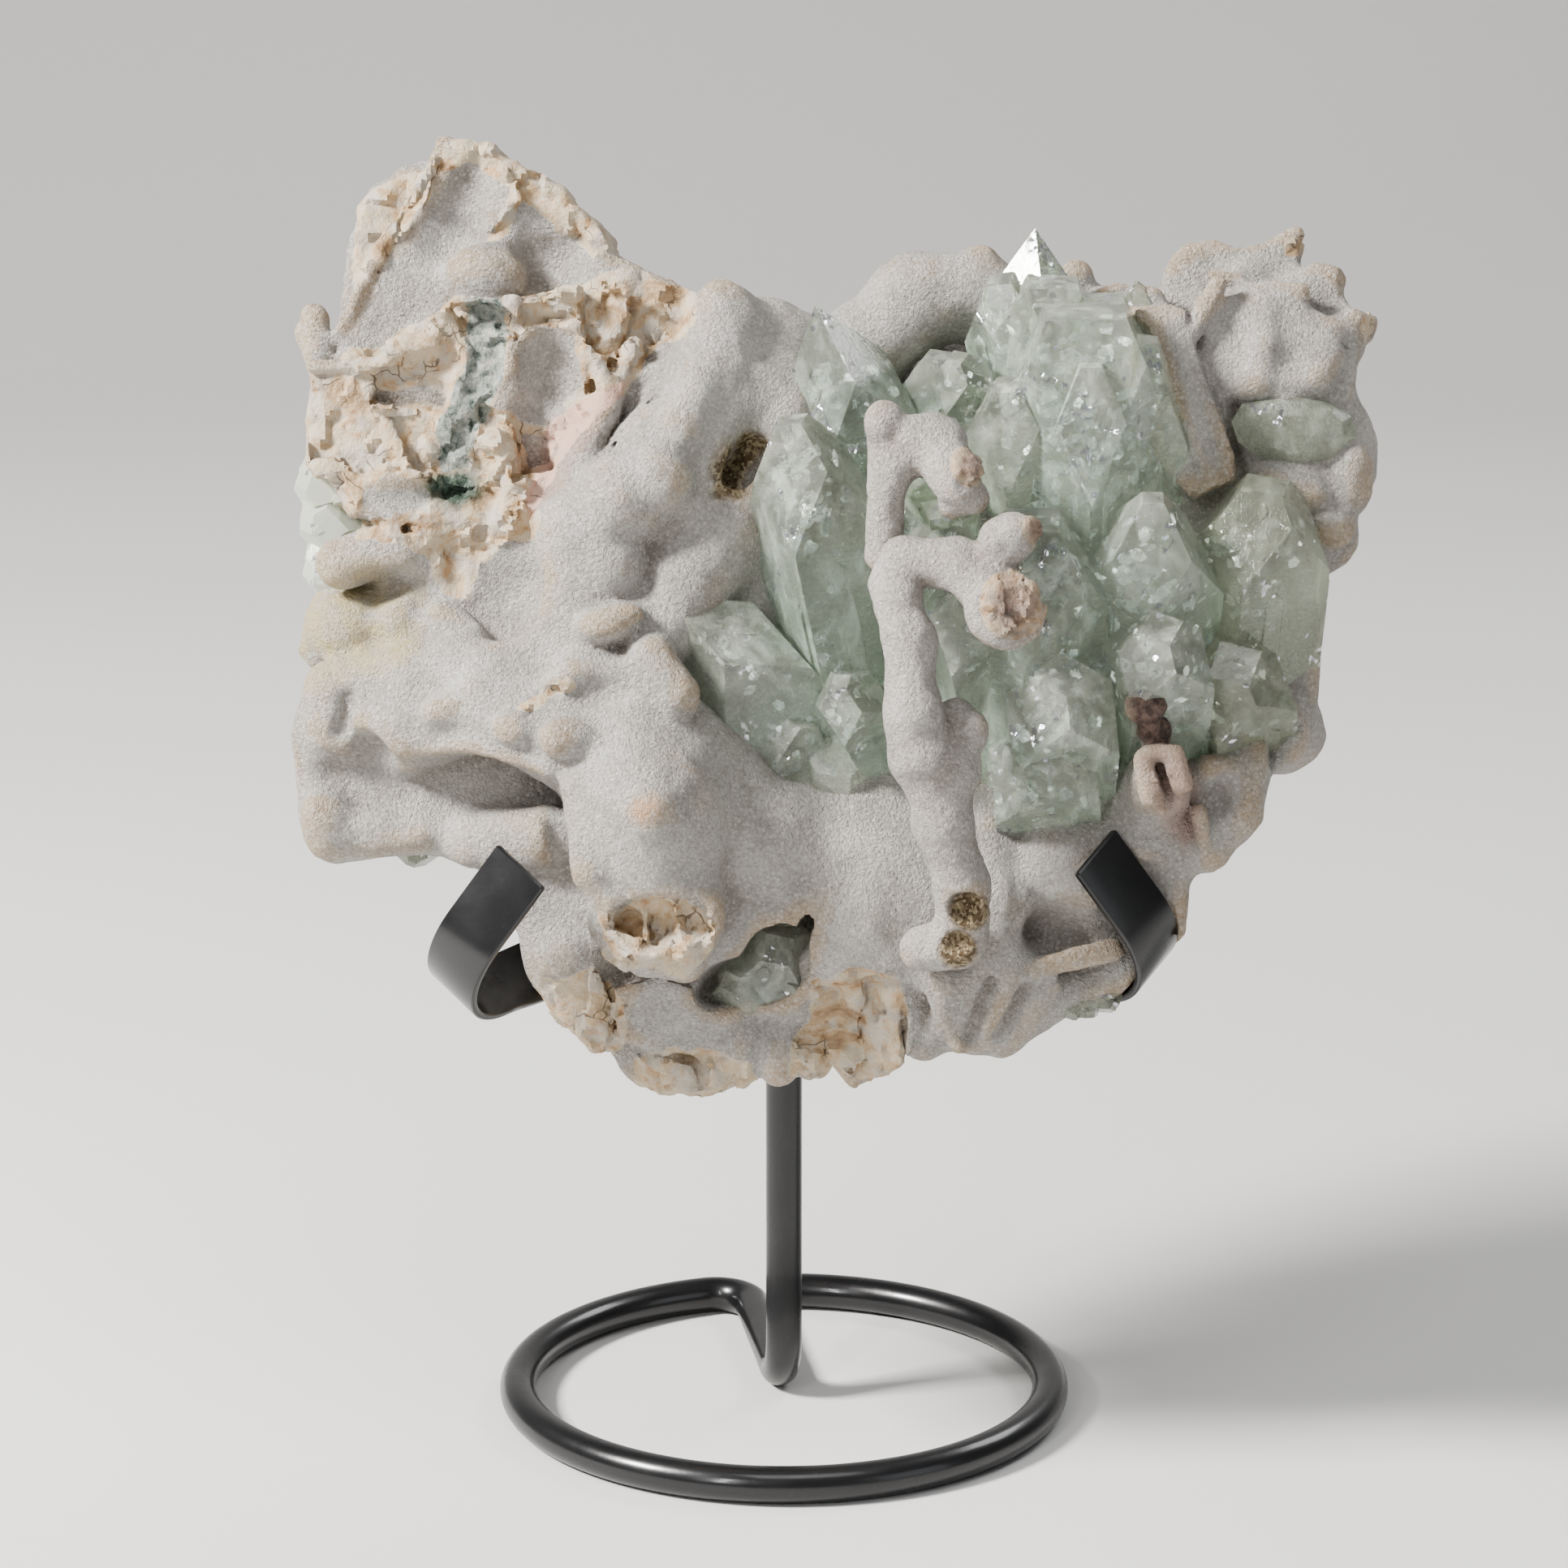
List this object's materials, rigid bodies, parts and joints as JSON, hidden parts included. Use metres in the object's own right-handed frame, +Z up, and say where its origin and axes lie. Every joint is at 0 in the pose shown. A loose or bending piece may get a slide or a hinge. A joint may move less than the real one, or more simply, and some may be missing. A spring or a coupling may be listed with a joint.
{
  "type": "mineral crystal cluster on display stand",
  "caption": "Pale mint, blocky pointed crystals grown on a druse-coated branching rock matrix, held upright by flat metal claws on a bent-rod stand with a ring foot.",
  "frame": {"origin": "bottom centre of the whole object's bounding box, on the floor inside the foot ring", "axes": "+X to the right as the crystal side is seen, +Y away from the viewer so that the crystals face -Y, +Z up along the upright"},
  "size_m": [0.1788, 0.1052, 0.2177],
  "materials": {
    "druse": "sugary fine-grained coating, matt with tiny glints",
    "apophyllite": "clear to milky natural crystal, glossy faces",
    "black_enamel": "satin black"
  },
  "bodies": {
    "root": {"matrix": "druse", "finger_upper": "druse", "finger_lower": "druse", "crystals_main": "apophyllite", "crystals_left_edge": "apophyllite", "crystal_bottom_left": "apophyllite", "crystal_cavity": "apophyllite", "crystals_bottom_right": "apophyllite", "crystal_top_right": "apophyllite", "crystal_lens": "apophyllite", "stand_rod": "black_enamel", "claw_left": "black_enamel", "claw_right": "black_enamel"}
  },
  "joints": []
}
